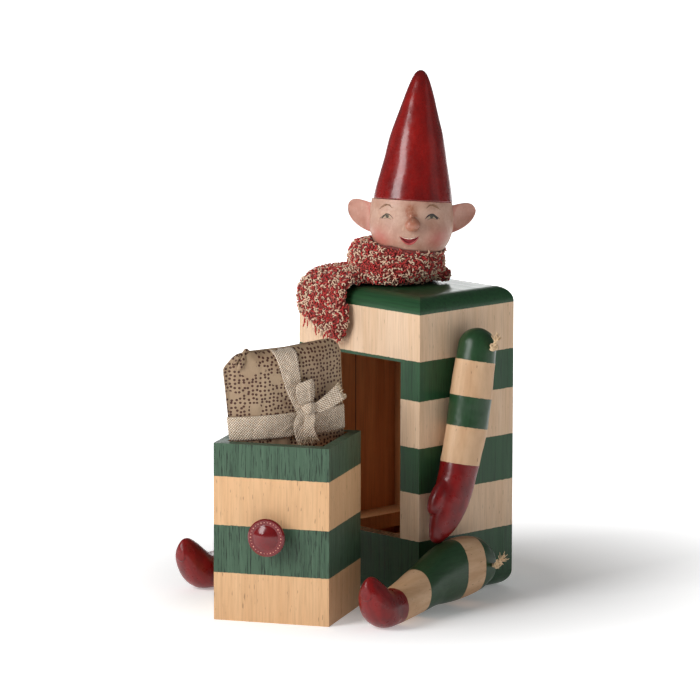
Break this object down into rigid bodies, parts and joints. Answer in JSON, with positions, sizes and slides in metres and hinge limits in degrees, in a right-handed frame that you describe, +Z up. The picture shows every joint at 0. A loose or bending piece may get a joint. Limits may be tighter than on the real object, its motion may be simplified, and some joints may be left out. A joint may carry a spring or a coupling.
{
  "type": "jack in the box",
  "caption": "Wooden elf whose striped box body holds one tall drawer, with a turning head, corded swinging arms and legs, a knitted scarf and a wrapped gift.",
  "frame": {"origin": "on the floor under the middle of the box body, at the centre of its base", "axes": "+Z up, the front of the box faces -Y, +X to the right of someone who looks along +Y"},
  "size_m": [0.1996, 0.2177, 0.3396],
  "materials": {
    "striped_wood": "fine-sanded beech with matt dark green painted bands, open pores",
    "green_wood": "dark green paint, satin, with brush marks",
    "bare_wood": "plain sanded wood",
    "skin_paint": "hand-painted skin tone, matt, with rosy cheeks",
    "red_lacquer": "dark red gloss lacquer with brush marks",
    "knob_red": "dark red gloss enamel",
    "screw_steel": "plain zinc plated",
    "wool_knit": "boucle knit in red and cream yarn",
    "cotton_cord": "twisted natural cotton cord",
    "kraft_paper": "taupe kraft wrapping paper with small dark red dots",
    "linen_ribbon": "woven linen ribbon with a metallic thread"
  },
  "bodies": {
    "root": {"front_panel": "striped_wood", "back_panel": "striped_wood", "left_side": "striped_wood", "right_side": "striped_wood", "top_plate": "green_wood", "base_plate": "green_wood", "left_runner": "bare_wood", "right_runner": "bare_wood", "panel_dowels": "bare_wood", "neck_dowel": "bare_wood", "scarf": "wool_knit", "arm_cord": "cotton_cord", "leg_cord": "cotton_cord"},
    "head_body": {"head": "skin_paint", "nose": "skin_paint", "left_ear": "skin_paint", "right_ear": "skin_paint", "hat": "red_lacquer", "hat_dowel": "bare_wood"},
    "left_arm_body": {"left_arm": "striped_wood"},
    "right_arm_body": {"right_arm": "striped_wood"},
    "left_leg_body": {"left_leg": "striped_wood"},
    "right_leg_body": {"right_leg": "striped_wood"},
    "drawer_body": {"drawer_front": "striped_wood", "drawer_left": "striped_wood", "drawer_right": "striped_wood", "drawer_back": "striped_wood", "drawer_floor": "bare_wood", "drawer_dowels": "bare_wood", "knob": "knob_red", "knob_screw": "screw_steel"},
    "gift_body": {"gift_parcel": "kraft_paper", "gift_ribbon": "linen_ribbon", "gift_bow": "linen_ribbon"}
  },
  "joints": [
    {"name": "head_turn", "type": "hinge", "parent": "root", "child": "head_body", "pos_m": [0, 0.0045, 0.24], "axis": [0, 0, 1], "continuous": true},
    {"name": "left_arm_swing", "type": "hinge", "parent": "root", "child": "left_arm_body", "pos_m": [-0.0712, -0.005, 0.1665], "axis": [-1, 0, 0], "range_deg": [0, 320]},
    {"name": "right_arm_swing", "type": "hinge", "parent": "root", "child": "right_arm_body", "pos_m": [0.0712, -0.005, 0.1665], "axis": [-1, 0, 0], "range_deg": [0, 320]},
    {"name": "left_leg_swing", "type": "hinge", "parent": "root", "child": "left_leg_body", "pos_m": [-0.0729, -0.004, 0.024], "axis": [1, 0, 0], "range_deg": [0, 95]},
    {"name": "right_leg_swing", "type": "hinge", "parent": "root", "child": "right_leg_body", "pos_m": [0.0729, -0.004, 0.024], "axis": [1, 0, 0], "range_deg": [0, 95]},
    {"name": "drawer_pull", "type": "slide", "parent": "root", "child": "drawer_body", "axis": [0.4939, -0.8695, 0], "range_m": [-0.034, 0.12]},
    {"name": "gift_lift", "type": "slide", "parent": "drawer_body", "child": "gift_body", "axis": [0, 0, 1], "range_m": [0, 0.12]}
  ]
}
